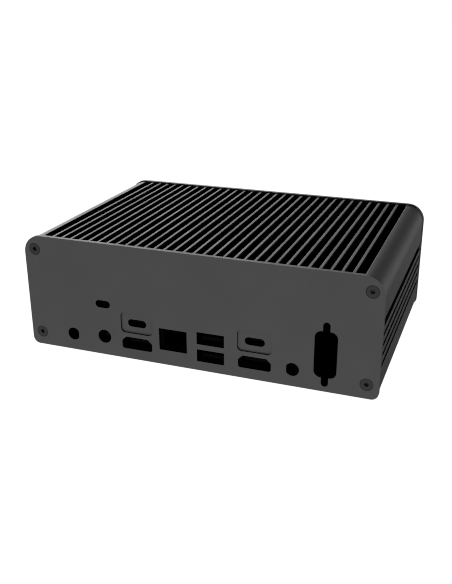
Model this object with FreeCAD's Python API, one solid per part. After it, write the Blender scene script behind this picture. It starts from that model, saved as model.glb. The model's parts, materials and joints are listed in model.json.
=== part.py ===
import FreeCAD, Part
import math
import os

# A fanless mini PC: a finned aluminium cover between two end panels, closed below by a plate on
# four feet. Millimetres. X runs along the width, +Y points to the rear, +Z up, and left and right
# are seen from the front. Heights are measured from the panels' lower edge; save() lifts each
# piece by FOOT_CLEARANCE, so that the feet stand on z = 0.

V = FreeCAD.Vector

# ---- driving dimensions: case ----
CASE_WIDTH = 176.6
CASE_DEPTH = 118.8
PANEL_HEIGHT = 57.9
PANEL_THICKNESS = 2.0
PANEL_TOP_RADIUS = 9.0
PANEL_BOTTOM_RADIUS = 3.5
FOOT_CLEARANCE = 2.0

COVER_INSET = 0.5            # how far the cover stays inside the panels at the sides and below
COVER_DROP = 0.5             # how far the fins' tips stay below the panels' upper edge
COVER_TOP_RADIUS = 8.8
COVER_BOTTOM_RADIUS = 3.0
CEILING = 40.0               # underside of the cover's roof
GROOVE_FLOOR = 45.0          # bottom of the grooves between the upper fins
WALL_INNER = 80.5            # half width inside the side walls
BLOCK_INNER = 76.0           # half width between the screw blocks at the foot of the walls
BLOCK_TOP = 12.5
ROOF_SCREW_DEPTH = 4.0

TOP_FINS = 31
FIN_PITCH = 4.912
FIN_TIP = 1.5
FIN_EDGE_RADIUS = 0.3
FIN_ROOT = 2.2
CORNER_BLOCK_EDGE = 78.6     # half width between the solid corners of the cover

SIDE_FINS = 4
SIDE_FIN_HEIGHT = 2.8
SIDE_FIN_FIRST = 17.0        # height of the lowest side fin's middle
SIDE_GROOVES_LOW = 13.2
SIDE_GROOVES_HIGH = 37.1
SIDE_GROOVE_DEPTH = 4.0

BOTTOM_PLATE_HALF_WIDTH = 83.0
BOTTOM_PLATE_THICKNESS = 2.0

# ---- driving dimensions: fasteners and feet ----
M3_SHANK = 1.48
M3_HOLE = 1.5
M3_PASS = 1.65
CSK_HEAD = 3.0
CSK_SEAT = 3.1
CSK_DEPTH = 1.6
HEX_SOCKET = 2.0             # across flats
HEX_SOCKET_DEPTH = 1.3
PANEL_SCREW_X = 82.65
PANEL_SCREW_Z = (7.0, 51.0)
PANEL_SCREW_LENGTH = 12.0
PANEL_HOLE_DEPTH = 11.0
SCREW_SINK = 0.1             # the countersunk heads lie this far below the faces round them
BOTTOM_SCREW_X = 79.5
BOTTOM_SCREW_Y = (-36.0, 0.0, 36.0)
BOTTOM_SCREW_LENGTH = 8.0
FOOT_RADIUS = 6.0
FOOT_EDGE_RADIUS = 0.7
FOOT_X = 68.0
FOOT_Y = 42.0
BRACKET_PITCH = 75.0         # square pattern for a wall or monitor bracket
BRACKET_HOLE = 1.65          # tapped M4
NUT_SHANK = 2.9
NUT_FLANGE = 4.1
NUT_FLANGE_HEIGHT = 1.8

# ---- driving dimensions: board ----
BOARD_SIZE = 101.6
BOARD_X = 5.2
BOARD_GAP = 4.0              # from the board's rear edge to the rear panel
BOARD_UNDER = 21.1
BOARD_THICKNESS = 1.6
BOARD_HOLE_OFFSETS = ((4.1, 4.2), (97.0, 4.2), (4.1, 85.2), (96.5, 80.2))   # from its left front corner
STANDOFF_FLATS = 5.5
BOARD_SCREW_HEAD = (2.7, 1.9)    # radius and height
BOARD_SCREW_GRIP = 5.5           # how far a board screw reaches into its standoff

# ---- driving dimensions: processor and heat path ----
PROCESSOR = (6.0, -4.0)
SUBSTRATE = (45.0, 26.0)
SUBSTRATE_THICKNESS = 0.9
DIE = (16.0, 11.5)
DIE_THICKNESS = 0.8
PASTE_THICKNESS = 0.1
PAD_THICKNESS = 0.5
SPREADER = (56.0, 46.0)
SPREADER_RADIUS = 3.0
SPREADER_SCREW_INSET = 5.0
SPREADER_HEAD_RADIUS = 2.75
SPREADER_HEAD_DEPTH = 3.0

# ---- driving dimensions: memory, cards and clock battery ----
MEMORY_X = (-39.8, 29.8)
MEMORY_DEPTH = 30.0
MEMORY_THICKNESS = 1.2
MEMORY = {                   # each module's drop below the board, and its socket's front and rear
    "near": {"drop": 3.4, "socket": (20.0, 26.0)},
    "far": {"drop": 8.2, "socket": (26.2, 32.2)},
}
MEMORY_SOCKET_BELOW = 2.2    # from a module's middle to its socket's underside
MEMORY_ARM = (1.3, 18.0, 3.2)
MEMORY_CHIPS = 4
MEMORY_CHIP = (12.4, 14.0, 1.0)
MEMORY_CHIP_PITCH = 16.4
SLOT_DEPTH = 2.5
SLOT_GAP = 0.05              # between a board and each face of its socket's slot
CARD_WIDTH = 22.0
CARD_THICKNESS = 0.8
CARD_DROP = 2.6              # from the board's underside to a card's upper face
CARD_TAB_INSET = 1.1         # how much narrower a card is inside its socket, on each side
CARD_CHIP_HEIGHT = 1.2
CARD_SOCKET_LENGTH = 7.0
CARD_NOTCH_RADIUS = 1.2
CARD_STANDOFF = (2.4, 1.0)   # radius outside and of the bore
CARD_SCREW_HEAD = (1.9, 0.9)
CARD_SCREW_SHANK = 0.98
DRIVE_X = (-36.0, 44.0)
DRIVE_Y = -26.0
DRIVE_CHIPS = (-26.0, -8.0, 10.0)
DRIVE_CHIP_LENGTH = 14.0
WIRELESS_X = 44.0
WIRELESS_Y = (-9.0, 21.0)
WIRELESS_CAN = (6.0, 22.0)   # the shielding can's ends, from the card's screw end
CELL_PLACE = (-34.0, -28.0)
CELL_RADIUS = 10.0
CELL_THICKNESS = 3.2
HOLDER_WALL = 1.3
HOLDER_FLOOR = 0.8
HOLDER_HEIGHT = 4.2
HEADER = (48.0, -12.0)
HEADER_SIZE = (10.0, 5.0, 6.0)

# ---- driving dimensions: connectors ----
SOCKET_GAP = 0.1             # from a panel's inner face to the sockets behind it
TONGUE_SETBACK = 1.2         # from a socket's mouth to the tip of its tongue
CORE_GAP = 0.04              # how much smaller a core is than the shell round it
USB_OPENING = (13.7, 6.2)
USB_SOCKET = (14.4, 6.6)
USB_MOUTH = (12.5, 5.12)
USB_TONGUE = (11.1, 1.84)
USB_TONGUE_DROP = 1.0
USB_PLUG = 3.0               # thickness of the plastic that closes a mouth's back
USB_REAR_X = -8.9
USB_REAR_Z = (7.8, 16.7)
USB_FRONT_X = {"left": 8.0, "right": 28.0}
USB_FRONT_Z = 17.6
USB_DEPTH = 17.5
LAN_X = 10.2
LAN_Z = 13.25
LAN_OPENING = (14.3, 11.2)
LAN_MOUTH = (12.0, 8.6)
LAN_LATCH = (6.4, 2.0)
LAN_LATCH_DROP = 4.9
LAN_WIDTH = 16.2
LAN_WALL = 0.4
LAN_DEPTH = 21.0
LAN_MOUTH_DEPTH = 13.0
DISPLAY_X = {"left": -30.65, "right": 29.3}
DISPLAY_Z = 8.4
DISPLAY_OPENING = (16.0, 6.25)
DISPLAY_SOCKET = (15.0, 5.5)
DISPLAY_MOUTH = (14.0, 4.6)
DISPLAY_TONGUE = (11.0, 1.2)
DISPLAY_TONGUE_RISE = 0.3
DISPLAY_DEPTH = 12.5
DISPLAY_RISER = (14.8, 3.5)
DISPLAY_RISER_BELOW = 2.7
TYPE_C_X = {"left": -30.5, "right": 29.2}
TYPE_C_Z = 18.92
TYPE_C_POCKET_Z = 19.05
TYPE_C_OPENING = (9.7, 3.85)
TYPE_C_POCKET = (16.7, 10.7)
TYPE_C_POCKET_RADIUS = 2.2
TYPE_C_POCKET_DEPTH = 0.8
TYPE_C_SOCKET = (8.94, 3.26)
TYPE_C_MOUTH = (8.34, 2.56)
TYPE_C_TONGUE = (6.7, 0.7)
TYPE_C_DEPTH = 8.0
TYPE_C_PLUG = 1.5
POWER_X = 46.9
POWER_Z = 9.8
POWER_OPENING_RADIUS = 3.5
POWER_MOUTH_RADIUS = 3.15
POWER_PIN_RADIUS = 1.25
POWER_PIN_SETBACK = 0.8
POWER_BODY_HALF = 4.7
POWER_DEPTH = 14.0
POWER_MOUTH_DEPTH = 10.0
LOCK_SLOT = (7.8, 3.84)
LOCK_SLOT_Z = 26.9
AERIAL_RADIUS = 3.25
AERIAL_FLAT = 2.83           # from the hole's centre to its flat
AERIAL_Z = 8.5
AERIALS = {64.3: -1, -48.7: 1}   # the hole's x, and the side that its flat is on
SERIAL_X = -63.8
SERIAL_Z = 18.3
SERIAL_BODY = (10.5, 22.7)
SERIAL_BODY_RADIUS = 3.2
SERIAL_SLOT = (3.3, 31.5)

# ---- driving dimensions: power switch ----
SWITCH_X = 68.0
SWITCH_Z = 29.35
SWITCH_TRAVEL = 1.5
SWITCH_FLANGE = 9.0
SWITCH_FLANGE_THICKNESS = 1.1
SWITCH_BARREL = 7.95
SWITCH_LENGTH = 23.3
SWITCH_SINK = 0.1            # the flange lies this far below the panel's face
RING_RADIUS = 6.6
RING_DEPTH = 2.0
BUTTON_RADIUS = 5.5
BUTTON_CLEARANCE = 0.1
BUTTON_THICKNESS = 4.0
DISH_RADIUS = 30.0
DISH_DEPTH = 0.35
STEM_RADIUS = 2.2
STEM_CLEARANCE = 0.06
STEM_HEAD = (2.8, 1.6)       # radius and length of the head that stops the stem
STEM_HEAD_GAP = 0.05
WEB_FRONT = 10.3             # from the flange's face to the web that guides the stem
WEB_THICKNESS = 2.0
NUT_FLATS = 19.0
NUT_THICKNESS = 3.0
BASE_RADIUS = 6.5
BASE_SHOULDER = 0.7
BASE_CHAMFER = 0.8
BASE_GAP = 0.9               # from the pressed stem's end to the base
BASE_TAIL = 4.0              # how far the base stands out of the barrel
THREAD_GAP = 0.02            # between a part that is screwed, pressed or glued in and its hole
SPRING_RADIUS = 3.2
SPRING_WIRE = 0.3
SPRING_TURNS = 4
SPRING_GAP = 0.05
LEAD_RADIUS = 1.0
LEAD_BEND = 6.5
LEAD_RISE = 8.0              # how far the lead rises above the switch's axis
LEAD_DRIFT = 3.0             # how far it has turned inwards where it starts to rise
LEAD_APPROACH = 12.0         # where it starts to rise, in front of the header

# ---- derived ----
HALF_WIDTH = CASE_WIDTH / 2
REAR_FACE = CASE_DEPTH / 2
REAR_INNER = REAR_FACE - PANEL_THICKNESS
COVER_HALF = HALF_WIDTH - COVER_INSET
COVER_TOP = PANEL_HEIGHT - COVER_DROP
PLATE_TOP = COVER_INSET + BOTTOM_PLATE_THICKNESS
BOARD_TOP = BOARD_UNDER + BOARD_THICKNESS
BOARD_REAR = REAR_INNER - BOARD_GAP
BOARD_FRONT = BOARD_REAR - BOARD_SIZE
BOARD_LEFT = BOARD_X - BOARD_SIZE / 2
BOARD_HOLES = tuple((BOARD_LEFT + u, BOARD_FRONT + v) for u, v in BOARD_HOLE_OFFSETS)
SPREADER_LOW = BOARD_TOP + SUBSTRATE_THICKNESS + DIE_THICKNESS + PASTE_THICKNESS
SPREADER_HIGH = CEILING - PAD_THICKNESS
CARD_TOP = BOARD_UNDER - CARD_DROP
CARD_SCREWS = ((DRIVE_X[1], DRIVE_Y), (WIRELESS_X, WIRELESS_Y[0]))
SWITCH_FACE = -REAR_FACE + SWITCH_SINK
WEB_REAR = WEB_FRONT + WEB_THICKNESS
STEM_END = WEB_REAR + STEM_HEAD[1]
BASE_FRONT = STEM_END + SWITCH_TRAVEL + BASE_GAP
BASE_REAR = SWITCH_LENGTH + BASE_TAIL
PAST = 1.0                   # how far a cutter runs past the faces that it cuts
SIDES = {"left": -1, "right": 1}
ENDS = {"front": -1, "rear": 1}


# ---- shapes ----
def rounded_outline(corners, place):
    """A closed wire through corners (u, v, radius), each put in space by place(u, v)."""
    starts = []
    ends = []
    middles = []
    count = len(corners)
    for i, (u, v, radius) in enumerate(corners):
        corner = V(u, v, 0)
        before = (V(*corners[i - 1][:2], 0) - corner).normalize()
        after = (V(*corners[(i + 1) % count][:2], 0) - corner).normalize()
        half_angle = before.getAngle(after) / 2
        reach = radius / math.tan(half_angle)
        starts.append(corner + before * reach)
        ends.append(corner + after * reach)
        bisector = (before + after).normalize() if radius else V(0, 0, 0)
        middles.append(corner + bisector * (radius / math.sin(half_angle) - radius))
    edges = []
    for i in range(count):
        start, middle, end = (place(p.x, p.y) for p in (starts[i], middles[i], ends[i]))
        if corners[i][2] > 0:
            edges.append(Part.Arc(start, middle, end).toShape())
        following = place(starts[(i + 1) % count].x, starts[(i + 1) % count].y)
        if (following - end).Length > 1e-6:
            edges.append(Part.LineSegment(end, following).toShape())
    return Part.Wire(edges)


def upright(corners, y_low, y_high):
    """A prism along Y over an outline given as (x, z, radius) corners."""
    face = Part.Face(rounded_outline(corners, lambda x, z: V(x, y_low, z)))
    return face.extrude(V(0, y_high - y_low, 0))


def flat(corners, z_low, z_high):
    """A prism along Z over an outline given as (x, y, radius) corners."""
    face = Part.Face(rounded_outline(corners, lambda x, y: V(x, y, z_low)))
    return face.extrude(V(0, 0, z_high - z_low))


def rectangle(centre, size, radius=0.0):
    """Corners of a rectangle for upright() or flat()."""
    u, v = size[0] / 2, size[1] / 2
    signs = ((-1, -1), (1, -1), (1, 1), (-1, 1))
    return [(centre[0] + a * u, centre[1] + b * v, radius) for a, b in signs]


def hexagon(centre, flats):
    """Corners of a hexagon with flats that face along the second axis."""
    radius = flats / 2 / math.cos(math.pi / 6)
    turns = [k * math.pi / 3 for k in range(6)]
    return [(centre[0] + radius * math.cos(t), centre[1] + radius * math.sin(t), 0) for t in turns]


def stadium(centre, size):
    """Corners of a slot with round ends; the flats left at its ends are a hundredth wide."""
    return rectangle(centre, size, min(size) / 2 - 0.005)


def block(x, y, z):
    """A box between the (low, high) pairs x, y and z."""
    return Part.makeBox(x[1] - x[0], y[1] - y[0], z[1] - z[0], V(x[0], y[0], z[0]))


def rod(radius, start, end):
    """A cylinder between two points."""
    axis = V(*end) - V(*start)
    return Part.makeCylinder(radius, axis.Length, V(*start), axis)


def cone(radius_start, radius_end, start, end):
    axis = V(*end) - V(*start)
    return Part.makeCone(radius_start, radius_end, axis.Length, V(*start), axis)


def tube(route, radius, bend):
    """A round tube along straight runs joined by tangent arcs of one radius."""
    edges = []
    last = route[0]
    for before, corner, after in zip(route, route[1:], route[2:]):
        back = (before - corner).normalize()
        ahead = (after - corner).normalize()
        half_angle = back.getAngle(ahead) / 2
        reach = bend / math.tan(half_angle)
        start, end = corner + back * reach, corner + ahead * reach
        middle = corner + (back + ahead).normalize() * (bend / math.sin(half_angle) - bend)
        edges.append(Part.LineSegment(last, start).toShape())
        edges.append(Part.Arc(start, middle, end).toShape())
        last = end
    edges.append(Part.LineSegment(last, route[-1]).toShape())
    path = Part.Wire(edges)
    section = Part.Wire(Part.makeCircle(radius, route[0], route[1] - route[0]))
    return path.makePipeShell([section], True, False)


def edges_beyond(shape, direction, distance):
    """The edges whose middles lie further than a distance along a direction."""
    return [e for e in shape.Edges if e.CenterOfMass.dot(direction) > distance]


def countersunk_screw(length):
    """A screw along -Z with its head's face at the origin."""
    shank = rod(M3_SHANK, (0, 0, -length), (0, 0, -CSK_DEPTH / 2))
    head = cone(CSK_HEAD, M3_SHANK, (0, 0, 0), (0, 0, M3_SHANK - CSK_HEAD))
    rim = rod(M3_SHANK, (0, 0, M3_SHANK - CSK_HEAD), (0, 0, -CSK_DEPTH))
    socket = flat(hexagon((0, 0), HEX_SOCKET), -HEX_SOCKET_DEPTH, PAST)
    return head.fuse([rim, shank]).removeSplitter().cut(socket)


def countersink():
    """The cutter for a countersunk screw along -Z through a panel whose face is at z = 0."""
    seat = cone(CSK_SEAT, M3_PASS, (0, 0, 0), (0, 0, M3_PASS - CSK_SEAT))
    return seat.fuse(rod(M3_PASS, (0, 0, -2 * PANEL_THICKNESS), (0, 0, M3_PASS - CSK_SEAT)))


def pan_screw(head_radius, head_height, shank_radius, length):
    """A screw along +Z with its head below z = 0."""
    head = rod(head_radius, (0, 0, -head_height), (0, 0, 0))
    head = head.makeFillet(head_height / 3, edges_beyond(head, V(0, 0, -1), head_height - 0.01))
    shank = rod(shank_radius, (0, 0, 0), (0, 0, length))
    socket = flat(hexagon((0, 0), head_radius * 0.8), -head_height - PAST, -head_height / 3)
    return head.fuse(shank).cut(socket)


def turned(shape, towards):
    """A shape made along Z, turned so that its +Z faces the given direction."""
    copy = shape.copy()
    copy.Placement = FreeCAD.Placement(V(0, 0, 0), FreeCAD.Rotation(V(0, 0, 1), V(*towards)))
    return copy


def moved(shape, x, y, z):
    copy = shape.copy()
    copy.translate(V(x, y, z))
    return copy


def panel_screw_places():
    return [(side * PANEL_SCREW_X, z) for side in SIDES.values() for z in PANEL_SCREW_Z]


# ---- case ----
def heatsink_cover():
    """One extrusion along Y: tall fins on its roof, low fins on its sides, and a U-shaped hollow."""
    low = COVER_INSET
    half = [
        (WALL_INNER, CEILING, 2.0),
        (WALL_INNER, BLOCK_TOP, 1.0),
        (BLOCK_INNER, BLOCK_TOP, 1.0),
        (BLOCK_INNER, PLATE_TOP, 0),
        (BOTTOM_PLATE_HALF_WIDTH, PLATE_TOP, 0),
        (BOTTOM_PLATE_HALF_WIDTH, low, 0),
        (COVER_HALF, low, COVER_BOTTOM_RADIUS),
        (COVER_HALF, SIDE_GROOVES_LOW, 0.4),
        (COVER_HALF - SIDE_GROOVE_DEPTH, SIDE_GROOVES_LOW, 0.3),
    ]
    for k in range(SIDE_FINS):
        middle = SIDE_FIN_FIRST + k * FIN_PITCH
        for z, order in ((middle - SIDE_FIN_HEIGHT / 2, 1), (middle + SIDE_FIN_HEIGHT / 2, -1)):
            fin_edge = [(COVER_HALF - SIDE_GROOVE_DEPTH, z, 0.3), (COVER_HALF, z, FIN_EDGE_RADIUS)]
            half += fin_edge[::order]
    half += [
        (COVER_HALF - SIDE_GROOVE_DEPTH, SIDE_GROOVES_HIGH, 0.3),
        (COVER_HALF, SIDE_GROOVES_HIGH, 0.4),
        (COVER_HALF, COVER_TOP, COVER_TOP_RADIUS),
        (CORNER_BLOCK_EDGE, COVER_TOP, 0.3),
        (CORNER_BLOCK_EDGE - 0.3, GROOVE_FLOOR, 0.4),
    ]
    for k in range(TOP_FINS // 2, 0, -1):
        middle = k * FIN_PITCH
        half += [
            (middle + FIN_ROOT / 2, GROOVE_FLOOR, 0.4),
            (middle + FIN_TIP / 2, COVER_TOP, FIN_EDGE_RADIUS),
            (middle - FIN_TIP / 2, COVER_TOP, FIN_EDGE_RADIUS),
            (middle - FIN_ROOT / 2, GROOVE_FLOOR, 0.4),
        ]
    half += [(FIN_ROOT / 2, GROOVE_FLOOR, 0.4), (FIN_TIP / 2, COVER_TOP, FIN_EDGE_RADIUS)]
    mirrored = [(-x, z, radius) for x, z, radius in reversed(half)]
    body = upright(half + mirrored, -REAR_INNER, REAR_INNER)
    holes = []
    for x, z in panel_screw_places():
        for end in ENDS.values():
            y = (end * REAR_INNER, end * (REAR_INNER - PANEL_HOLE_DEPTH))
            holes.append(rod(M3_HOLE, (x, y[0], z), (x, y[1], z)))
    for side in SIDES.values():
        for y in BOTTOM_SCREW_Y:
            x = side * BOTTOM_SCREW_X
            holes.append(rod(M3_HOLE, (x, y, PLATE_TOP), (x, y, PLATE_TOP + BOTTOM_SCREW_LENGTH)))
    for x, y in BOARD_HOLES + spreader_screw_places():
        holes.append(rod(M3_HOLE, (x, y, CEILING), (x, y, CEILING + ROOF_SCREW_DEPTH)))
    return body.cut(holes)


def plain_panel(end):
    """A panel with its four countersunk holes; end is 1 for the rear and -1 for the front."""
    top, bottom = PANEL_TOP_RADIUS, PANEL_BOTTOM_RADIUS
    corners = rectangle((0, PANEL_HEIGHT / 2), (CASE_WIDTH, PANEL_HEIGHT))
    radii = (bottom, bottom, top, top)
    corners = [(x, z, radius) for (x, z, _), radius in zip(corners, radii)]
    y_faces = sorted((end * REAR_INNER, end * REAR_FACE))
    cutter = turned(countersink(), (0, end, 0))
    holes = [moved(cutter, x, end * REAR_FACE, z) for x, z in panel_screw_places()]
    return upright(corners, *y_faces).cut(holes)


def through(corners, end):
    """A cutter that passes right through the panel at one end."""
    y = sorted((end * (REAR_INNER - PAST), end * (REAR_FACE + PAST)))
    return upright(corners, *y)


def round_opening(radius, x, z):
    """A round cutter through the rear panel."""
    return rod(radius, (x, REAR_INNER - PAST, z), (x, REAR_FACE + PAST, z))


def display_outline(centre, size, radius):
    """A rectangle whose upper corners are cut off at a slant."""
    x, z = centre
    half_width, half_height = size[0] / 2, size[1] / 2
    shoulder = z + half_height * 0.32
    top = half_width - half_height * 0.72
    right = [
        (x + half_width, z - half_height, radius),
        (x + half_width, shoulder, radius * 0.8),
        (x + top, z + half_height, radius * 0.8),
    ]
    left = [(2 * x - u, v, r) for u, v, r in reversed(right)]
    return right + left


def aerial_hole(x, flat_side):
    """A round hole with one flat, for a bulkhead aerial socket."""
    hole = round_opening(AERIAL_RADIUS, x, AERIAL_Z)
    beyond = sorted((x + flat_side * AERIAL_FLAT, x + flat_side * 2 * AERIAL_RADIUS))
    reach = 2 * AERIAL_RADIUS
    return hole.cut(block(beyond, (0, CASE_DEPTH), (AERIAL_Z - reach, AERIAL_Z + reach)))


def type_c_centre(side):
    return TYPE_C_X[side], TYPE_C_Z


def rear_panel():
    cutters = [aerial_hole(x, flat_side) for x, flat_side in AERIALS.items()]
    cutters += [
        through(rectangle((LAN_X, LAN_Z), LAN_OPENING, 0.3), 1),
        through(stadium((POWER_X, LOCK_SLOT_Z), LOCK_SLOT), 1),
        through(rectangle((SERIAL_X, SERIAL_Z), SERIAL_BODY, SERIAL_BODY_RADIUS), 1),
        through(stadium((SERIAL_X, SERIAL_Z), SERIAL_SLOT), 1),
        round_opening(POWER_OPENING_RADIUS, POWER_X, POWER_Z),
    ]
    cutters += [through(rectangle((USB_REAR_X, z), USB_OPENING, 0.3), 1) for z in USB_REAR_Z]
    for side in SIDES:
        cutters.append(through(display_outline((DISPLAY_X[side], DISPLAY_Z), DISPLAY_OPENING, 1.2), 1))
        cutters.append(through(stadium(type_c_centre(side), TYPE_C_OPENING), 1))
        middle = (TYPE_C_X[side], TYPE_C_POCKET_Z)
        pocket = rectangle(middle, TYPE_C_POCKET, TYPE_C_POCKET_RADIUS)
        cutters.append(upright(pocket, REAR_FACE - TYPE_C_POCKET_DEPTH, REAR_FACE + PAST))
    return plain_panel(1).cut(cutters)


def front_panel():
    """A panel with two USB openings and the power switch's stepped hole."""
    cutters = [through(rectangle((x, USB_FRONT_Z), USB_OPENING, 0.3), -1) for x in USB_FRONT_X.values()]
    face = -REAR_FACE
    depth = SWITCH_SINK + SWITCH_FLANGE_THICKNESS
    start = (SWITCH_X, face - PAST, SWITCH_Z)
    cutters.append(rod(SWITCH_BARREL + THREAD_GAP, start, (SWITCH_X, 0, SWITCH_Z)))
    cutters.append(rod(SWITCH_FLANGE + SWITCH_SINK, start, (SWITCH_X, face + depth, SWITCH_Z)))
    return plain_panel(-1).cut(cutters)


def panel_screws(end):
    screw = turned(countersunk_screw(PANEL_SCREW_LENGTH), (0, end, 0))
    y = end * (REAR_FACE - SCREW_SINK)
    return [moved(screw, x, y, z) for x, z in panel_screw_places()]


def bottom_screw_places():
    return [(side * BOTTOM_SCREW_X, y) for side in SIDES.values() for y in BOTTOM_SCREW_Y]


def bracket_places():
    half = BRACKET_PITCH / 2
    return [(a * half, b * half) for a in (-1, 1) for b in (-1, 1)]


def bottom_plate():
    half_width = BOTTOM_PLATE_HALF_WIDTH - SOCKET_GAP
    half_depth = REAR_INNER - SOCKET_GAP
    body = block((-half_width, half_width), (-half_depth, half_depth), (COVER_INSET, PLATE_TOP))
    cutter = turned(countersink(), (0, 0, -1))
    cutters = [moved(cutter, x, y, COVER_INSET) for x, y in bottom_screw_places()]
    nut_hole = rod(NUT_SHANK + THREAD_GAP, (0, 0, 0), (0, 0, PLATE_TOP + PAST))
    cutters += [moved(nut_hole, x, y, 0) for x, y in bracket_places()]
    return body.cut(cutters)


def bottom_screws():
    screw = turned(countersunk_screw(BOTTOM_SCREW_LENGTH), (0, 0, -1))
    return [moved(screw, x, y, COVER_INSET + SCREW_SINK) for x, y in bottom_screw_places()]


def bracket_nuts():
    """Press-in nuts, flush with the bottom plate's outer face."""
    nuts = []
    for x, y in bracket_places():
        shank = rod(NUT_SHANK, (x, y, COVER_INSET), (x, y, PLATE_TOP))
        flange = rod(NUT_FLANGE, (x, y, PLATE_TOP), (x, y, PLATE_TOP + NUT_FLANGE_HEIGHT))
        bore = rod(BRACKET_HOLE, (x, y, 0), (x, y, PLATE_TOP + NUT_FLANGE_HEIGHT + PAST))
        nuts.append(shank.fuse(flange).cut(bore))
    return nuts


def foot(end, side):
    """A round rubber foot with a rounded lower edge, stuck under the bottom plate."""
    x, y = side * FOOT_X, end * FOOT_Y
    body = rod(FOOT_RADIUS, (x, y, -FOOT_CLEARANCE), (x, y, COVER_INSET))
    return body.makeFillet(FOOT_EDGE_RADIUS, edges_beyond(body, V(0, 0, -1), FOOT_CLEARANCE - 0.01))


# ---- board and what is on it ----
def main_board():
    x = (BOARD_LEFT, BOARD_LEFT + BOARD_SIZE)
    body = block(x, (BOARD_FRONT, BOARD_REAR), (BOARD_UNDER, BOARD_TOP))
    holes = [rod(M3_PASS, (x, y, BOARD_UNDER - PAST), (x, y, BOARD_TOP + PAST)) for x, y in BOARD_HOLES]
    return body.cut(holes)


def board_standoffs():
    """Hexagonal pillars from the cover's roof down to the board, each with a stud at the top."""
    pillars = []
    for x, y in BOARD_HOLES:
        pillar = flat(hexagon((x, y), STANDOFF_FLATS), BOARD_TOP, CEILING)
        stud = rod(M3_SHANK, (x, y, CEILING - PAST), (x, y, CEILING + ROOF_SCREW_DEPTH - 0.2))
        bore = rod(M3_HOLE, (x, y, BOARD_TOP - PAST), (x, y, BOARD_TOP + BOARD_SCREW_GRIP + PAST))
        pillars.append(pillar.fuse(stud).cut(bore))
    return pillars


def board_screws():
    screw = pan_screw(*BOARD_SCREW_HEAD, M3_SHANK, BOARD_THICKNESS + BOARD_SCREW_GRIP)
    return [moved(screw, x, y, BOARD_UNDER) for x, y in BOARD_HOLES]


def spreader_screw_places():
    x, y = PROCESSOR
    u, v = (length / 2 - SPREADER_SCREW_INSET for length in SPREADER)
    return tuple((x + a * u, y + b * v) for a in (-1, 1) for b in (-1, 1))


def processor_substrate():
    return flat(rectangle(PROCESSOR, SUBSTRATE, 0.5), BOARD_TOP, BOARD_TOP + SUBSTRATE_THICKNESS)


def processor_die():
    low = BOARD_TOP + SUBSTRATE_THICKNESS
    return flat(rectangle(PROCESSOR, DIE), low, low + DIE_THICKNESS)


def thermal_paste():
    return flat(rectangle(PROCESSOR, DIE), SPREADER_LOW - PASTE_THICKNESS, SPREADER_LOW)


def heat_spreader():
    """A solid aluminium block that carries the processor's heat up to the finned roof."""
    body = flat(rectangle(PROCESSOR, SPREADER, SPREADER_RADIUS), SPREADER_LOW, SPREADER_HIGH)
    cutters = []
    for x, y in spreader_screw_places():
        start = (x, y, SPREADER_LOW - PAST)
        head_end = (x, y, SPREADER_LOW + SPREADER_HEAD_DEPTH)
        cutters.append(rod(M3_PASS, start, (x, y, SPREADER_HIGH + PAST)))
        cutters.append(rod(SPREADER_HEAD_RADIUS + 0.1, start, head_end))
    return body.cut(cutters)


def thermal_pad():
    pad = flat(rectangle(PROCESSOR, SPREADER, SPREADER_RADIUS), SPREADER_HIGH, CEILING)
    z = (SPREADER_HIGH - PAST, CEILING + PAST)
    holes = [rod(M3_PASS, (x, y, z[0]), (x, y, z[1])) for x, y in spreader_screw_places()]
    return pad.cut(holes)


def spreader_screws():
    head_top = SPREADER_LOW + SPREADER_HEAD_DEPTH
    length = CEILING + ROOF_SCREW_DEPTH - 0.4 - head_top
    screw = pan_screw(SPREADER_HEAD_RADIUS, SPREADER_HEAD_DEPTH, M3_SHANK, length)
    return [moved(screw, x, y, head_top) for x, y in spreader_screw_places()]


def memory_socket(which):
    """A long socket under the board with a slot for the module's edge and an arm at each end."""
    drop = MEMORY[which]["drop"]
    y_low, y_high = MEMORY[which]["socket"]
    middle = BOARD_UNDER - drop
    low = middle - MEMORY_SOCKET_BELOW
    x_low, x_high = MEMORY_X[0] - SOCKET_GAP, MEMORY_X[1] + SOCKET_GAP
    width, length, height = MEMORY_ARM
    body = block((x_low - width, x_high + width), (y_low, y_high), (low, BOARD_UNDER))
    arms = [block(x, (y_low - length, y_low), (low, low + height))
            for x in ((x_low - width, x_low), (x_high, x_high + width))]
    half = MEMORY_THICKNESS / 2 + SLOT_GAP
    slot = block((x_low, x_high), (y_low - PAST, y_low + SLOT_DEPTH), (middle - half, middle + half))
    return body.fuse(arms).removeSplitter().cut(slot)


def memory_module(which):
    """A small board with a row of memory chips on each face."""
    middle = BOARD_UNDER - MEMORY[which]["drop"]
    rear = MEMORY[which]["socket"][0] + SLOT_DEPTH - SOCKET_GAP
    half = MEMORY_THICKNESS / 2
    front = rear - MEMORY_DEPTH
    board = block(MEMORY_X, (front, rear), (middle - half, middle + half))
    width, length, height = MEMORY_CHIP
    y = (front + 5, front + 5 + length)
    z = (middle - half - height, middle + half + height)
    chips = []
    for k in range(MEMORY_CHIPS):
        x = MEMORY_X[0] + (k + 1) * MEMORY_CHIP_PITCH - width
        chips.append(block((x, x + width), y, z))
    return board.fuse(chips)


def card_socket(x, y, slot_x, slot_y):
    """An edge socket between the board and a card's end."""
    body = block(x, y, (CARD_TOP - 2 * CARD_THICKNESS, BOARD_UNDER))
    return body.cut(block(slot_x, slot_y, (CARD_TOP - CARD_THICKNESS - SLOT_GAP, CARD_TOP + SLOT_GAP)))


def drive_socket():
    y = (DRIVE_Y - CARD_WIDTH / 2, DRIVE_Y + CARD_WIDTH / 2)
    x = (DRIVE_X[0] + 2 - CARD_SOCKET_LENGTH, DRIVE_X[0] + 2)
    return card_socket(x, y, (DRIVE_X[0] - SOCKET_GAP, x[1] + PAST), (y[0] + 1, y[1] - 1))


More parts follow.
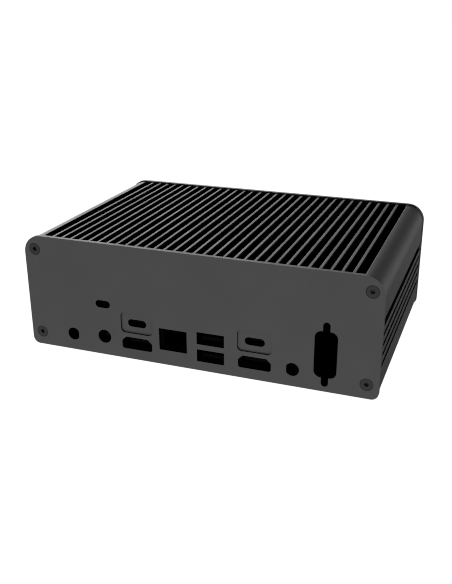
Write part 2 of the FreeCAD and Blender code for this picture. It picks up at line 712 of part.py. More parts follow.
def wireless_socket():
    x = (WIRELESS_X - CARD_WIDTH / 2, WIRELESS_X + CARD_WIDTH / 2)
    y = (WIRELESS_Y[1] - 2, WIRELESS_Y[1] - 2 + CARD_SOCKET_LENGTH)
    return card_socket(x, y, (x[0] + 1, x[1] - 1), (y[0] - PAST, WIRELESS_Y[1] + SOCKET_GAP))


def card(x, y, notch, chips):
    """A plug-in card with a half-round notch for its screw and a few flat chips below."""
    under = CARD_TOP - CARD_THICKNESS
    body = block(x, y, (under, CARD_TOP))
    body = body.fuse([block(cx, cy, (under - CARD_CHIP_HEIGHT, under)) for cx, cy in chips])
    return body.cut(rod(CARD_NOTCH_RADIUS, (*notch, 0), (*notch, BOARD_UNDER)))


def drive_card():
    """A solid state drive; its tabbed end is 20 mm wide inside the socket."""
    half = CARD_WIDTH / 2
    y = (DRIVE_Y - half, DRIVE_Y + half)
    chips = [((x, x + DRIVE_CHIP_LENGTH), (y[0] + 2, y[1] - 2)) for x in DRIVE_CHIPS]
    body = card(DRIVE_X, y, CARD_SCREWS[0], chips)
    corners = [block((DRIVE_X[0] - PAST, DRIVE_X[0] + 2 + SOCKET_GAP), side, (0, BOARD_UNDER))
               for side in ((y[0] - PAST, y[0] + CARD_TAB_INSET), (y[1] - CARD_TAB_INSET, y[1] + PAST))]
    return body.cut(corners)


def wireless_card():
    half = CARD_WIDTH / 2
    x = (WIRELESS_X - half, WIRELESS_X + half)
    can = tuple(WIRELESS_Y[0] + end for end in WIRELESS_CAN)
    body = card(x, WIRELESS_Y, CARD_SCREWS[1], [((x[0] + 2, x[1] - 2), can)])
    corners = [block(side, (WIRELESS_Y[1] - 2 - SOCKET_GAP, WIRELESS_Y[1] + PAST), (0, BOARD_UNDER))
               for side in ((x[0] - PAST, x[0] + CARD_TAB_INSET), (x[1] - CARD_TAB_INSET, x[1] + PAST))]
    return body.cut(corners)


def card_standoffs():
    pillars = []
    outside, bore = CARD_STANDOFF
    for x, y in CARD_SCREWS:
        pillar = rod(outside, (x, y, CARD_TOP), (x, y, BOARD_UNDER))
        pillars.append(pillar.cut(rod(bore, (x, y, CARD_TOP - PAST), (x, y, BOARD_UNDER - 0.4))))
    return pillars


def card_screws():
    screw = pan_screw(*CARD_SCREW_HEAD, CARD_SCREW_SHANK, CARD_THICKNESS + 1.8)
    return [moved(screw, x, y, CARD_TOP - CARD_THICKNESS) for x, y in CARD_SCREWS]


def coin_cell_holder():
    """An open ring with a floor that keeps the clock's battery on top of the board."""
    x, y = CELL_PLACE
    floor = BOARD_TOP + HOLDER_FLOOR
    top = BOARD_TOP + HOLDER_HEIGHT
    body = rod(CELL_RADIUS + HOLDER_WALL, (x, y, BOARD_TOP), (x, y, top))
    pocket = rod(CELL_RADIUS + SOCKET_GAP, (x, y, floor), (x, y, top + PAST))
    finger_gap = block((x - 4, x + 4), (y - 2 * CELL_RADIUS, y - CELL_RADIUS / 2), (floor, top + PAST))
    return body.cut([pocket, finger_gap])


def coin_cell():
    x, y = CELL_PLACE
    low = BOARD_TOP + HOLDER_FLOOR
    body = rod(CELL_RADIUS, (x, y, low), (x, y, low + CELL_THICKNESS))
    return body.makeFillet(0.4, edges_beyond(body, V(0, 0, 1), low + CELL_THICKNESS - 0.01))


# ---- connectors: a shell with a mouth towards its panel, and a core with a tongue ----
def socket_span(end, depth):
    """The y of a socket's back and of its mouth, behind the panel at one end."""
    mouth = REAR_INNER - SOCKET_GAP
    return end * (mouth - depth), end * mouth


def tongue(end, centre, size, back):
    tip = end * (REAR_INNER - SOCKET_GAP - TONGUE_SETBACK)
    return upright(rectangle(centre, size), *sorted((back, tip)))


def shell_tube(end, outer, mouths, depth):
    """A shell along Y over an outer outline, open at its front; its core fills the back."""
    back, mouth = socket_span(end, depth)
    body = upright(outer, *sorted((back, mouth)))
    y = sorted((back - end * PAST, mouth + end * PAST))
    return body.cut([upright(inner, *y) for inner in mouths])


def core_size(mouth):
    """The size of the plastic that fills a shell's mouth."""
    return mouth[0] - CORE_GAP, mouth[1] - CORE_GAP


def usb_shell(end, x, rows):
    """A steel shell round one or two USB mouths, up to the board's underside."""
    low = min(rows) - USB_SOCKET[1] / 2
    outer = rectangle((x, (low + BOARD_UNDER) / 2), (USB_SOCKET[0], BOARD_UNDER - low), 0.6)
    mouths = [rectangle((x, z), USB_MOUTH, 0.3) for z in rows]
    return shell_tube(end, outer, mouths, USB_DEPTH)


def usb_core(end, x, rows):
    """Plastic that closes the back of each mouth and carries its tongue."""
    pieces = []
    back = socket_span(end, USB_DEPTH)[0]
    plug_front = back + end * USB_PLUG
    for z in rows:
        plug = upright(rectangle((x, z), core_size(USB_MOUTH), 0.3), *sorted((back, plug_front)))
        blade = tongue(end, (x, z - USB_TONGUE_DROP), USB_TONGUE, plug_front - end)
        pieces.append(plug.fuse(blade))
    return pieces


def network_jack_outline(inset, radius):
    """The network jack's outline up to the board, drawn in by an inset."""
    low = LAN_Z - LAN_OPENING[1] / 2 - 1
    size = (LAN_WIDTH - 2 * inset, BOARD_UNDER - low - 2 * inset)
    return rectangle((LAN_X, (low + BOARD_UNDER) / 2), size, radius)


def network_jack_shell():
    return shell_tube(1, network_jack_outline(0, 0.5), [network_jack_outline(LAN_WALL, 0.2)], LAN_DEPTH)


def network_jack_core():
    """A plastic body with the plug's mouth and the groove for its latch."""
    back, mouth = socket_span(1, LAN_DEPTH)
    body = upright(network_jack_outline(LAN_WALL + CORE_GAP / 2, 0.2), back, mouth)
    y = (mouth - LAN_MOUTH_DEPTH, mouth + PAST)
    plug = upright(rectangle((LAN_X, LAN_Z), LAN_MOUTH), *y)
    latch = upright(rectangle((LAN_X, LAN_Z - LAN_LATCH_DROP), LAN_LATCH), *y)
    return body.cut([plug, latch])


def display_shell(side):
    centre = (DISPLAY_X[side], DISPLAY_Z)
    outer = display_outline(centre, DISPLAY_SOCKET, 1.1)
    return shell_tube(1, outer, [display_outline(centre, DISPLAY_MOUTH, 0.9)], DISPLAY_DEPTH)


def display_core(side):
    """A block that hangs from the board behind the shell, with the tongue in front of it."""
    x = DISPLAY_X[side]
    back = socket_span(1, DISPLAY_DEPTH)[0]
    width, depth = DISPLAY_RISER
    z = (DISPLAY_Z - DISPLAY_RISER_BELOW, BOARD_UNDER)
    riser = block((x - width / 2, x + width / 2), (back - depth, back), z)
    return riser.fuse(tongue(1, (x, DISPLAY_Z + DISPLAY_TONGUE_RISE), DISPLAY_TONGUE, back - 1))


def type_c_shell(side):
    centre = type_c_centre(side)
    return shell_tube(1, stadium(centre, TYPE_C_SOCKET), [stadium(centre, TYPE_C_MOUTH)], TYPE_C_DEPTH)


def type_c_core(side):
    """A block that hangs from the board behind the shell, closes it and carries the tongue."""
    x, z = centre = type_c_centre(side)
    back = socket_span(1, TYPE_C_DEPTH)[0]
    half = TYPE_C_MOUTH[0] / 2
    riser = block((x - half, x + half), (back - TYPE_C_PLUG, back), (z - TYPE_C_MOUTH[1] / 2, BOARD_UNDER))
    plug = upright(stadium(centre, core_size(TYPE_C_MOUTH)), back - TYPE_C_PLUG, back + TYPE_C_PLUG)
    return riser.fuse([plug, tongue(1, centre, TYPE_C_TONGUE, back + 1)])


def power_jack_body():
    back, mouth = socket_span(1, POWER_DEPTH)
    half = POWER_BODY_HALF
    body = block((POWER_X - half, POWER_X + half), (back, mouth), (POWER_Z - half, BOARD_UNDER))
    y = (mouth - POWER_MOUTH_DEPTH, mouth + PAST)
    return body.cut(rod(POWER_MOUTH_RADIUS, (POWER_X, y[0], POWER_Z), (POWER_X, y[1], POWER_Z)))


def power_jack_pin():
    mouth = socket_span(1, POWER_DEPTH)[1]
    tip = mouth - POWER_PIN_SETBACK
    pin = rod(POWER_PIN_RADIUS, (POWER_X, mouth - POWER_MOUTH_DEPTH, POWER_Z), (POWER_X, tip, POWER_Z))
    return pin.makeFillet(POWER_PIN_RADIUS / 2, edges_beyond(pin, V(0, 1, 0), tip - 0.01))


# ---- power switch; distances run back from the flange's outer face ----
def switch_rod(radius, start, end):
    """A cylinder on the switch's axis."""
    low, high = SWITCH_FACE + start, SWITCH_FACE + end
    return rod(radius, (SWITCH_X, low, SWITCH_Z), (SWITCH_X, high, SWITCH_Z))


def switch_barrel():
    """A flanged barrel with a seat for the light ring, the button's bore, a web and a rear bore."""
    body = switch_rod(SWITCH_FLANGE, 0, SWITCH_FLANGE_THICKNESS)
    tube_part = switch_rod(SWITCH_BARREL, SWITCH_FLANGE_THICKNESS / 2, SWITCH_LENGTH)
    body = body.fuse(tube_part).removeSplitter()
    return body.cut([
        switch_rod(RING_RADIUS, -PAST, RING_DEPTH),
        switch_rod(BUTTON_RADIUS + BUTTON_CLEARANCE, 0, WEB_FRONT),
        switch_rod(STEM_RADIUS + STEM_CLEARANCE, 0, SWITCH_LENGTH),
        switch_rod(BASE_RADIUS - BASE_SHOULDER, WEB_REAR, BASE_FRONT),
        switch_rod(BASE_RADIUS, BASE_FRONT, SWITCH_LENGTH + PAST),
    ])


def switch_light_ring():
    ring = switch_rod(RING_RADIUS - THREAD_GAP, 0, RING_DEPTH)
    return ring.cut(switch_rod(BUTTON_RADIUS + BUTTON_CLEARANCE, -PAST, RING_DEPTH + PAST))


def power_button():
    """The cap with a shallow dish, its stem, and the head that stops it behind the web."""
    cap = switch_rod(BUTTON_RADIUS, SWITCH_SINK, SWITCH_SINK + BUTTON_THICKNESS)
    dish_middle = V(SWITCH_X, SWITCH_FACE + SWITCH_SINK + DISH_DEPTH - DISH_RADIUS, SWITCH_Z)
    dish = Part.makeSphere(DISH_RADIUS, dish_middle)
    stem = switch_rod(STEM_RADIUS, BUTTON_THICKNESS - 1, STEM_END)
    head = switch_rod(STEM_HEAD[0], WEB_REAR + STEM_HEAD_GAP, STEM_END)
    return cap.fuse([stem, head]).removeSplitter().cut(dish)


def return_spring():
    """A compression spring round the stem, from the cap to the web."""
    low = SWITCH_SINK + BUTTON_THICKNESS + SPRING_WIRE + SPRING_GAP
    length = WEB_FRONT - low - SPRING_WIRE - SPRING_GAP
    path = Part.makeHelix(length / SPRING_TURNS, length, SPRING_RADIUS)
    section = Part.Wire(Part.makeCircle(SPRING_WIRE, V(SPRING_RADIUS, 0, 0), V(0, 1, 0)))
    coil = Part.Wire(path).makePipeShell([section], True, True)
    return moved(turned(coil, (0, 1, 0)), SWITCH_X, SWITCH_FACE + low, SWITCH_Z)


def switch_base():
    """The insulating base that closes the barrel and holds the contacts."""
    body = switch_rod(BASE_RADIUS - THREAD_GAP, BASE_FRONT, BASE_REAR)
    rear_edges = edges_beyond(body, V(0, 1, 0), SWITCH_FACE + BASE_REAR - 0.01)
    return body.makeChamfer(BASE_CHAMFER, rear_edges)


def switch_nut():
    low = -REAR_INNER
    body = upright(hexagon((SWITCH_X, SWITCH_Z), NUT_FLATS), low, low + NUT_THICKNESS)
    return body.cut(switch_rod(SWITCH_BARREL + THREAD_GAP, 0, SWITCH_LENGTH))


def switch_lead():
    """The switch's lead, bent twice on its way from the base to the header on the board."""
    start = V(SWITCH_X, SWITCH_FACE + BASE_REAR, SWITCH_Z)
    end = V(HEADER[0], HEADER[1], BOARD_TOP + HEADER_SIZE[2])
    height = start.z + LEAD_RISE
    low_corner = V(start.x, end.y - LEAD_APPROACH, start.z)
    high_corner = V(start.x - LEAD_DRIFT, end.y, height)
    route = [start, low_corner, high_corner, V(end.x, end.y, height), end]
    return tube(route, LEAD_RADIUS, LEAD_BEND)


def switch_header():
    width, depth, height = HEADER_SIZE
    body = flat(rectangle(HEADER, (width, depth)), BOARD_TOP, BOARD_TOP + height)
    return body.makeChamfer(0.5, edges_beyond(body, V(0, 0, 1), BOARD_TOP + height - 0.01))


# ---- the nodes ----
def all_parts():
    parts = {
        "heatsink_cover": heatsink_cover(),
        "rear_panel": rear_panel(),
        "front_panel": front_panel(),
        "rear_panel_screws": panel_screws(1),
        "front_panel_screws": panel_screws(-1),
        "bottom_plate": bottom_plate(),
        "bottom_plate_screws": bottom_screws(),
        "bracket_nuts": bracket_nuts(),
        "main_board": main_board(),
        "board_standoffs": board_standoffs(),
        "board_screws": board_screws(),
        "processor_substrate": processor_substrate(),
        "processor_die": processor_die(),
        "thermal_paste": thermal_paste(),
        "heat_spreader": heat_spreader(),
        "thermal_pad": thermal_pad(),
        "spreader_screws": spreader_screws(),
        "drive_socket": drive_socket(),
        "drive_card": drive_card(),
        "wireless_socket": wireless_socket(),
        "wireless_card": wireless_card(),
        "card_standoffs": card_standoffs(),
        "card_screws": card_screws(),
        "coin_cell_holder": coin_cell_holder(),
        "coin_cell": coin_cell(),
        "usb_stack_shell": usb_shell(1, USB_REAR_X, USB_REAR_Z),
        "usb_stack_cores": usb_core(1, USB_REAR_X, USB_REAR_Z),
        "network_jack_shell": network_jack_shell(),
        "network_jack_core": network_jack_core(),
        "power_jack_body": power_jack_body(),
        "power_jack_pin": power_jack_pin(),
        "switch_barrel": switch_barrel(),
        "switch_nut": switch_nut(),
        "switch_light_ring": switch_light_ring(),
        "power_button": power_button(),
        "return_spring": return_spring(),
        "switch_base": switch_base(),
        "switch_lead": switch_lead(),
        "switch_header": switch_header(),
    }
    for which in MEMORY:
        parts[f"memory_socket_{which}"] = memory_socket(which)
        parts[f"memory_module_{which}"] = memory_module(which)
    for side, sign in SIDES.items():
        parts[f"display_{side}_shell"] = display_shell(side)
        parts[f"display_{side}_core"] = display_core(side)
        parts[f"type_c_{side}_shell"] = type_c_shell(side)
        parts[f"type_c_{side}_core"] = type_c_core(side)
        parts[f"front_usb_{side}_shell"] = usb_shell(-1, USB_FRONT_X[side], (USB_FRONT_Z,))
        parts[f"front_usb_{side}_core"] = usb_core(-1, USB_FRONT_X[side], (USB_FRONT_Z,))
        for name, end in ENDS.items():
            parts[f"foot_{name}_{side}"] = foot(end, sign)
    return parts


def save(name, piece):
    """Writes one node, lifted so that the feet stand on z = 0."""
    shape = Part.makeCompound(piece) if isinstance(piece, list) else piece
    lifted = moved(shape, 0, 0, FOOT_CLEARANCE)
    lifted.exportStep(f"parts/{name}.step")


os.makedirs("parts", exist_ok=True)
for node, piece in all_parts().items():
    save(node, piece)
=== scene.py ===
import json
import math

import bmesh
import bpy
from mathutils import Euler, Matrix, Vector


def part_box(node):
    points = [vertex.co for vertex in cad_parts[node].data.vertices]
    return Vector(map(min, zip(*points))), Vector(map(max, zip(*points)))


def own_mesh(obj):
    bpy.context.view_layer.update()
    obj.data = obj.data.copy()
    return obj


# The looks of a fanless mini PC: a procedural finish for each of its CAD parts, and the studio.
# Metres, in the CAD parts' frame: X along the width, +Y to the rear panel with the ports, +Z up,
# and left and right as seen from the front.

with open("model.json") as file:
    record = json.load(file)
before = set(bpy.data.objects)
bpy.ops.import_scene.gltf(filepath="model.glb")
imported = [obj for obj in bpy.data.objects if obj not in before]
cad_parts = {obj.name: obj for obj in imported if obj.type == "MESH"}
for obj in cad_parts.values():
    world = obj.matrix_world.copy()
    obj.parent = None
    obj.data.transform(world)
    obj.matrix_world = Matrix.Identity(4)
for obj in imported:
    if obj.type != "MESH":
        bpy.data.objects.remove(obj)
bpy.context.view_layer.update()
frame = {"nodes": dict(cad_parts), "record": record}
nodes = frame["nodes"]

MM = 0.001

# ---- sizes taken from the frame ----
COVER_LOW, COVER_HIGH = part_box("heatsink_cover")
PANEL_LOW, PANEL_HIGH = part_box("rear_panel")
PLATE_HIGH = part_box("bottom_plate")[1]
SCREW_LOW, SCREW_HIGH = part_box("rear_panel_screws")

# ---- sizes that the finishes follow ----
CORNER_RADIUS = 9 * MM               # of the panels and the cover, at their upper corners
HEAD_RADIUS = 3 * MM                 # of a countersunk screw
FIN_TIP_HEIGHT = 0.01 * MM           # how much of a fin's tip stays free of the painted shade
GROOVE_FADE = 0.07 * MM              # depth by which the painted shade in a groove of the roof is full
SIDE_GROOVE_FADE = 0.16 * MM         # and by which it is full in a groove of a side
RIM_SHADE = 0.75                     # how much of the painted shade the rim of a panel's inner face takes

# Each of these is where a change starts and where it is complete. Depth is measured inwards from
# the outline of a panel or of the cover, and drop is measured down from the tips of the upper fins.
# The painted shade of a panel: on the walls of its openings, and on its inner face past a rim.
OPENING_WALL_DEPTH = (0.3 * MM, 0.6 * MM)
RIM_DEPTH = (1.05 * MM, 1.5 * MM)        # past the rim of a panel that stands out round the cover
SIDE_RIM_WIDTH = (4.4 * MM, 4.6 * MM)    # past the ends of the side grooves, in from a panel's side
INNER_FACE_GAP = (0.1 * MM, 0.05 * MM)   # distance off the inner face of a sheet
# the floors of the cover's grooves stay free of the painted shade
GROOVE_FLOOR_DROP = (8.05 * MM, 11.5 * MM)
GROOVE_FLOOR_DEPTH = (1.2 * MM, 3 * MM)
INSIDE_DROP = (14.25 * MM, 15 * MM)      # painted shade on the inside of the case
INSIDE_DEPTH = (5.4 * MM, 6 * MM)
SCREW_RIM = (2.55 * MM, 2.685 * MM)      # distance from a screw's axis, over which the painted shade round its head sets in
NOISE_SPAN = (0.3, 0.7)                  # most values of a noise lie between these

# ---- tones ----
ANODISED = 0.062
ANODISED_ROUGHNESS = 0.5
# the near-black of the painted shade in openings, grooves and on inner faces
PAINTED_SHADE_TONE = 0.0015
SCREW_TONE = 0.027
# painted shade round the rim of a screw head
SCREW_RIM_SHADE_TONE = 0.008


# ---- finishes ----
def colour(value):
    """A grey level or an RGB triple as RGBA."""
    rgb = (value,) * 3 if isinstance(value, (int, float)) else value
    return (*rgb, 1.0)


def shade(tone, share):
    """A share of an RGB tone."""
    return [level * share for level in tone]


class Finish:
    """A procedural material: one Principled shader, and short ways to add the nodes that feed it."""

    def __init__(self, name, roughness, metallic=0.0, specular=0.5):
        self.material = bpy.data.materials.new(name)
        self.material.use_nodes = True
        self.tree = self.material.node_tree
        self.shader = self.tree.nodes["Principled BSDF"]
        self.set("Roughness", roughness)
        self.set("Metallic", metallic)
        self.set("Specular IOR Level", specular)
        self.place = self.add("TexCoord", {}).outputs["Object"]
        self.x, self.y, self.z = self.add("SeparateXYZ", {0: self.place}).outputs

    def feed(self, socket, value):
        if isinstance(value, bpy.types.NodeSocket):
            self.tree.links.new(value, socket)
        else:
            socket.default_value = value

    def add(self, kind, inputs, **settings):
        """A node with its settings; each input is linked to a socket or given a value."""
        node = self.tree.nodes.new("ShaderNode" + kind)
        for key, value in settings.items():
            setattr(node, key, value)
        for key, value in inputs.items():
            self.feed(node.inputs[key], value)
        return node

    def set(self, socket, value):
        self.feed(self.shader.inputs[socket], value)

    def math(self, operation, a, b=0.0):
        return self.add("Math", {0: a, 1: b}, operation=operation).outputs[0]

    def length(self, a, b):
        """The length of the vector with these two parts."""
        both = self.add("CombineXYZ", {"X": a, "Y": b}).outputs[0]
        return self.add("VectorMath", {0: both}, operation="LENGTH").outputs["Value"]

    def rise(self, value, start, end, low=0.0, high=1.0):
        """A smooth change from low to high as the value goes from start to end."""
        inputs = {"Value": value, "From Min": start, "From Max": end, "To Min": low, "To Max": high}
        return self.add("MapRange", inputs, interpolation_type="SMOOTHSTEP").outputs["Result"]

    def noise(self, size, stretch=(1, 1, 1), detail=2.0):
        """Noise with features of about a size, drawn out along the axes by stretch."""
        scale = [1 / (size * s) for s in stretch]
        place = self.add("Mapping", {"Vector": self.place, "Scale": scale}).outputs[0]
        return self.add("TexNoise", {"Vector": place, "Scale": 1.0, "Detail": detail}).outputs["Fac"]

    def mix(self, share, a, b):
        """A grey or colour between a and b."""
        node = self.add("Mix", {0: share}, data_type="RGBA")
        for socket, value in ((node.inputs[6], a), (node.inputs[7], b)):
            self.feed(socket, value if isinstance(value, bpy.types.NodeSocket) else colour(value))
        return node.outputs[2]

    def bump(self, height, depth, strength=1.0):
        """Relief whose highest and lowest points are a depth apart; later calls add to it."""
        inputs = {"Height": height, "Distance": depth, "Strength": strength}
        linked = self.shader.inputs["Normal"].links
        if linked:
            inputs["Normal"] = linked[0].from_socket
        self.set("Normal", self.add("Bump", inputs).outputs[0])

    def uneven_gloss(self, noise, roughness, spread):
        """Lets the roughness vary by a share of it either way."""
        least, most = roughness * (1 - spread), roughness * (1 + spread)
        self.set("Roughness", self.rise(noise, *NOISE_SPAN, least, most))

    def paint_shade(self, share, tone):
        """Paints shade: where the share is 1, the tone becomes a near-black metal that reflects almost
        nothing, standing in for the shade in openings, grooves and on inner faces.
        """
        self.set("Base Color", self.mix(share, tone, PAINTED_SHADE_TONE))
        self.set("Metallic", share)

    def side_facing(self):
        """1 on faces that look along X or Z, and 0 on those that look along Y."""
        normal = self.add("NewGeometry", {}).outputs["True Normal"]
        along = self.add("SeparateXYZ", {0: normal}).outputs["Y"]
        return self.rise(self.math("ABSOLUTE", along), 0.6, 0.4)

    def from_corners(self, low, high, inset):
        """How far out a point lies, along X and along Z, from a box's sides moved in by an inset."""
        across = self.math("SUBTRACT", self.math("ABSOLUTE", self.x), high.x - inset)
        from_middle = self.math("ABSOLUTE", self.math("SUBTRACT", self.z, (low.z + high.z) / 2))
        return across, self.math("SUBTRACT", from_middle, (high.z - low.z) / 2 - inset)

    def depth(self, low, high):
        """How deep a point lies below the outline, in X and Z, of a box with rounded corners."""
        across, up = self.from_corners(low, high, CORNER_RADIUS)
        outside = self.length(self.math("MAXIMUM", across, 0.0), self.math("MAXIMUM", up, 0.0))
        inside = self.math("MINIMUM", self.math("MAXIMUM", across, up), 0.0)
        return self.math("SUBTRACT", CORNER_RADIUS, self.math("ADD", outside, inside))


def blasted_grain(finish):
    """The fine pits that bead blasting leaves, with a faint broad unevenness; returns the tone."""
    finish.bump(finish.noise(0.25 * MM, detail=3.0), 0.008 * MM)
    finish.bump(finish.noise(1.1 * MM), 0.012 * MM, 0.5)
    uneven = finish.noise(18 * MM)
    finish.uneven_gloss(uneven, ANODISED_ROUGHNESS, 0.06)
    return finish.mix(uneven, ANODISED * 0.97, ANODISED * 1.03)


def anodised_panel():
    """Black anodised sheet with painted shade on the walls of its openings and on its inner face, but for
    a rim.
    """
    finish = Finish("anodised_panel", ANODISED_ROUGHNESS)
    tone = blasted_grain(finish)
    depth = finish.depth(PANEL_LOW, PANEL_HIGH)
    # painted shade on the walls of the openings and on the inner face
    wall = finish.math("MULTIPLY", finish.rise(depth, *OPENING_WALL_DEPTH), finish.side_facing())
    gap = finish.math("SUBTRACT", finish.math("ABSOLUTE", finish.y), PANEL_LOW.y)
    from_side = finish.math("SUBTRACT", PANEL_HIGH.x, finish.math("ABSOLUTE", finish.x))
    inner = finish.rise(gap, *INNER_FACE_GAP)
    inner = finish.math("MULTIPLY", inner, finish.rise(depth, *RIM_DEPTH, RIM_SHADE, 1.0))
    inner = finish.math("MULTIPLY", inner, finish.rise(from_side, *SIDE_RIM_WIDTH))
    finish.paint_shade(finish.math("MAXIMUM", wall, inner), tone)
    return finish.material


def anodised_extrusion():
    """Black anodised extrusion: lines along its length, painted shade in its grooves and on the inside of
    the case, with plain groove floors.
    """
    finish = Finish("anodised_extrusion", ANODISED_ROUGHNESS)
    tone = blasted_grain(finish)
    finish.bump(finish.noise(0.35 * MM, stretch=(1, 400, 1)), 0.01 * MM, 0.6)
    depth = finish.depth(COVER_LOW, COVER_HIGH)
    drop = finish.math("SUBTRACT", COVER_HIGH.z, finish.z)
    floor = finish.math("MULTIPLY", finish.rise(drop, *GROOVE_FLOOR_DROP),
                        finish.rise(depth, *GROOVE_FLOOR_DEPTH))
    # the inside of the case takes the painted shade again
    inside = finish.math("MULTIPLY", finish.rise(drop, *INSIDE_DROP), finish.rise(depth, *INSIDE_DEPTH))
    plain = finish.math("SUBTRACT", floor, inside)
    # painted shade on the groove walls, from just under a fin's tip
    fade = finish.rise(drop, *GROOVE_FLOOR_DROP, GROOVE_FADE, SIDE_GROOVE_FADE)
    wall = finish.rise(depth, FIN_TIP_HEIGHT, fade)
    finish.paint_shade(finish.math("MULTIPLY", wall, finish.math("SUBTRACT", 1.0, plain)), tone)
    return finish.material


def anodised_plate():
    """Black anodised sheet with painted shade on its inner face."""
    finish = Finish("anodised_plate", ANODISED_ROUGHNESS)
    tone = blasted_grain(finish)
    gap = finish.math("SUBTRACT", PLATE_HIGH.z, finish.z)
    finish.paint_shade(finish.rise(gap, *INNER_FACE_GAP), tone)
    return finish.material


def turned_metal(name, tone, roughness, metallic=1.0):
    """Metal with fine marks and a slight unevenness."""
    finish = Finish(name, roughness, metallic)
    finish.bump(finish.noise(0.12 * MM), 0.004 * MM)
    uneven = finish.noise(1.5 * MM, detail=4.0)
    finish.uneven_gloss(uneven, roughness, 0.15)
    finish.set("Base Color", finish.mix(uneven, shade(tone, 0.88), tone))
    return finish.material


def panel_screw():
    """Blackened steel with painted shade round the rim of each countersunk head."""
    finish = Finish("panel_screw", 0.5, 0.4)
    finish.bump(finish.noise(0.12 * MM), 0.004 * MM)
    from_axis = finish.length(*finish.from_corners(SCREW_LOW, SCREW_HIGH, HEAD_RADIUS))
    # painted shade round the rim of each head
    rim = finish.rise(from_axis, *SCREW_RIM)
    finish.set("Base Color", finish.mix(rim, SCREW_TONE, SCREW_RIM_SHADE_TONE))
    return finish.material


def moulded(name, tone, roughness, specular=0.5):
    """Moulded plastic or rubber with a fine spark-eroded grain."""
    finish = Finish(name, roughness, specular=specular)
    finish.bump(finish.noise(0.35 * MM, detail=3.0), 0.015 * MM)
    uneven = finish.noise(6 * MM)
    finish.uneven_gloss(uneven, roughness, 0.08)
    finish.set("Base Color", finish.mix(uneven, shade(tone, 0.92), tone))
    return finish.material


def laminate(name, mask, trace):
    """Solder mask over copper traces: thin raised lines under the lacquer."""
    finish = Finish(name, 0.35)
    grid = finish.add("TexBrick", {"Vector": finish.place, "Scale": 1 / (9 * MM), "Mortar Size": 0.012,
                                   "Mortar Smooth": 0.2}, offset=0.37, squash=0.7).outputs["Fac"]
    lines = finish.math("MULTIPLY", grid, finish.rise(finish.noise(4 * MM), 0.45, 0.5))
    finish.bump(lines, 0.03 * MM)
    finish.bump(finish.noise(0.5 * MM), 0.005 * MM)
    finish.set("Base Color", finish.mix(lines, mask, trace))
    return finish.material


def frosted(name, tone, glow):
    """Frosted plastic with a faint light behind it."""
    finish = Finish(name, 0.45)
    finish.bump(finish.noise(0.2 * MM), 0.006 * MM)
    finish.set("Base Color", finish.mix(finish.noise(2.5 * MM), shade(tone, 0.9), tone))
    finish.set("Emission Color", colour(tone))
    finish.set("Emission Strength", glow)
    return finish.material


# a finish for each material slot of the frame's record
FINISHES = {
    "black_steel": turned_metal("black_steel", (0.035, 0.035, 0.036), 0.5, 0.4),
    "zinc_steel": turned_metal("zinc_steel", (0.55, 0.56, 0.58), 0.32),
    "brass": turned_metal("brass", (0.68, 0.47, 0.2), 0.3),
    "rubber": moulded("rubber", (0.022, 0.022, 0.022), 0.8),
    "board_green": laminate("board_mask", (0.008, 0.012, 0.011), (0.02, 0.026, 0.022)),
    "substrate": laminate("package_mask", (0.02, 0.09, 0.045), (0.05, 0.14, 0.07)),
    "silicon": turned_metal("silicon", (0.32, 0.34, 0.39), 0.12),
    "grey_paste": moulded("grey_paste", (0.42, 0.42, 0.43), 0.75),
    "bare_aluminium": turned_metal("bare_aluminium", (0.72, 0.72, 0.73), 0.38),
    "module_board": laminate("module_mask", (0.01, 0.05, 0.028), (0.03, 0.09, 0.05)),
    # The sockets' plastic is black, but this tone and its faint reflection are darker still, and the
    # shells' steel is near-black: painted shade inside the openings.
    "socket_plastic": moulded("socket_plastic", (0.0018, 0.0018, 0.0018), 0.6, specular=0.04),
    "shell_steel": turned_metal("shell_steel", (0.005, 0.005, 0.005), 0.45),
    "cell_steel": turned_metal("cell_steel", (0.12, 0.12, 0.12), 0.25),
    "switch_metal": turned_metal("switch_metal", (0.07, 0.07, 0.072), 0.38, 0.6),
    "light_ring": frosted("light_ring", (0.75, 0.8, 0.86), 0.15),
    "lead_sheath": moulded("lead_sheath", (0.03, 0.03, 0.03), 0.6),
}

# nodes that take another finish than their slot's
PANEL_FINISH = anodised_panel()
PANEL_SCREW_FINISH = panel_screw()
NODE_FINISHES = {
    # the power jack's pin takes the near-black shell steel, painted shade inside its bore
    "power_jack_pin": FINISHES["shell_steel"],
    "rear_panel_screws": PANEL_SCREW_FINISH,
    "front_panel_screws": PANEL_SCREW_FINISH,
    "heatsink_cover": anodised_extrusion(),
    "rear_panel": PANEL_FINISH,
    "front_panel": PANEL_FINISH,
    "bottom_plate": anodised_plate(),
}


def dress(piece, finish):
    piece.data.materials.clear()
    piece.data.materials.append(finish)


for row in frame["record"]["subparts"]:
    node = row["node"]
    dress(nodes[node], NODE_FINISHES.get(node) or FINISHES[row["material_slot"]])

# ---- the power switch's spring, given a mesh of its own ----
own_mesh(nodes["return_spring"])


# ---- the studio ----
CAMERA_PLACE = (-0.13323, 0.36897, 0.17709)
CAMERA_TURN = (68.078, 0.242, -159.499)      # degrees about X, Y and Z
LENS = 48.776
SENSOR = 36.0
NEAREST_SEEN = 0.01
PIXEL_FILTER = 1.1                           # narrower than usual, so that the fins are crisp

FLOOR_RADIUS = 3.0
BACKDROP_RADIUS = 3.06

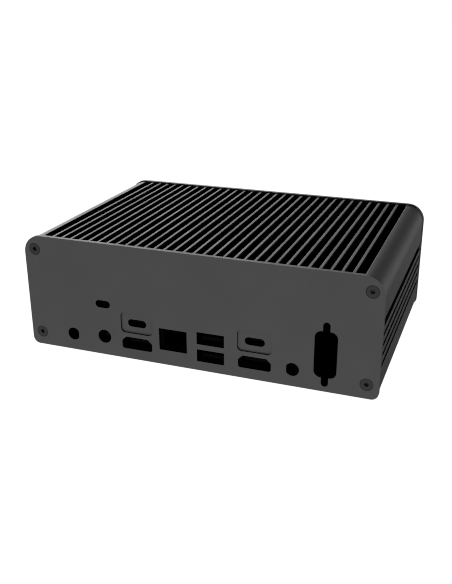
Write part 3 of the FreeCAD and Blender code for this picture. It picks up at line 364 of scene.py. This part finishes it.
# The soft lights: azimuth in degrees from the object's front towards its right, elevation, half
# angles inside which a light is full and outside which it is gone, and its level.
SOFT_LIGHTS = (
    (5, 0, 4, 27, 0.45),         # beyond the object, as the camera sees it
    (30, 0, 4, 27, 0.9),
    (55, 0, 4, 27, 2.0),
    (80, 0, 4, 27, 0.75),
    (30, 25, 4, 27, 3.3),
    (55, 25, 4, 27, 1.9),
    (80, 25, 4, 27, 0.8),
    (-45, 0, 4, 27, 1.9),        # on the object's left
    (-90, 0, 10, 45, 0.55),
    (140, -30, 8, 45, 0.8),      # from below, on the camera's side
    (180, -30, 8, 45, 0.75),
    (-140, -30, 8, 45, 1.15),
    (160, 15, 8, 45, 0.3),       # and from above there
    (180, 50, 10, 40, 0.95),
)


def surroundings():
    """A dark dome with soft lights that fade at their edges."""
    world = bpy.data.worlds.new("surroundings")
    world.use_nodes = True
    bpy.context.scene.world = world
    tree = world.node_tree
    looking = tree.nodes.new("ShaderNodeTexCoord").outputs["Generated"]
    total = None
    for azimuth, elevation, full, gone, level in SOFT_LIGHTS:
        turn, rise = math.radians(azimuth), math.radians(elevation)
        away = tree.nodes.new("ShaderNodeVectorMath")
        away.operation = "DOT_PRODUCT"
        away.inputs[1].default_value = (math.sin(turn) * math.cos(rise), -math.cos(turn) * math.cos(rise),
                                        math.sin(rise))
        angle = tree.nodes.new("ShaderNodeMath")
        angle.operation = "ARCCOSINE"
        fade = tree.nodes.new("ShaderNodeMapRange")
        fade.interpolation_type = "SMOOTHSTEP"
        for key, value in (("From Min", math.radians(full)), ("From Max", math.radians(gone)),
                           ("To Min", level), ("To Max", 0.0)):
            fade.inputs[key].default_value = value
        tree.links.new(looking, away.inputs[0])
        tree.links.new(away.outputs["Value"], angle.inputs[0])
        tree.links.new(angle.outputs[0], fade.inputs["Value"])
        if total is None:
            total = fade.outputs["Result"]
        else:
            both = tree.nodes.new("ShaderNodeMath")
            tree.links.new(total, both.inputs[0])
            tree.links.new(fade.outputs["Result"], both.inputs[1])
            total = both.outputs[0]
    tree.links.new(total, tree.nodes["Background"].inputs["Color"])


def seen_only(piece):
    """Keeps a stage piece out of the light that falls on the object and out of its reflections."""
    piece.visible_diffuse = False
    piece.visible_glossy = False
    piece.visible_transmission = False
    piece.visible_volume_scatter = False
    piece.visible_shadow = False


def pale(name, tone):
    """A white glow over a matt tone."""
    finish = Finish(name, 0.9, specular=0.0)
    finish.set("Base Color", colour(tone))
    finish.set("Emission Color", colour(1.0))
    finish.set("Emission Strength", 1.0)
    return finish.material


def stage_mesh(name, build, finish):
    """A smooth mesh of the stage, made by a function that fills a bmesh."""
    shape = bmesh.new()
    build(shape)
    mesh = bpy.data.meshes.new(name)
    shape.to_mesh(mesh)
    shape.free()
    mesh.polygons.foreach_set("use_smooth", [True] * len(mesh.polygons))
    piece = bpy.data.objects.new(name, mesh)
    bpy.context.scene.collection.objects.link(piece)
    dress(piece, finish)
    seen_only(piece)


def studio():
    """A round floor inside a backdrop all round."""
    stage_mesh("floor", lambda shape: bmesh.ops.create_circle(
        shape, cap_ends=True, segments=96, radius=FLOOR_RADIUS), pale("floor", 0.2))
    stage_mesh("backdrop", lambda shape: bmesh.ops.create_uvsphere(
        shape, u_segments=64, v_segments=32, radius=BACKDROP_RADIUS), pale("backdrop", 0.0))


def camera():
    lens = bpy.data.cameras.new("camera")
    lens.lens = LENS
    lens.sensor_width = SENSOR
    lens.clip_start = NEAREST_SEEN
    holder = bpy.data.objects.new("camera", lens)
    holder.location = CAMERA_PLACE
    holder.rotation_euler = Euler([math.radians(angle) for angle in CAMERA_TURN])
    bpy.context.scene.collection.objects.link(holder)
    bpy.context.scene.camera = holder


surroundings()
studio()
camera()
bpy.context.scene.view_settings.view_transform = "Standard"
bpy.context.scene.cycles.filter_width = PIXEL_FILTER
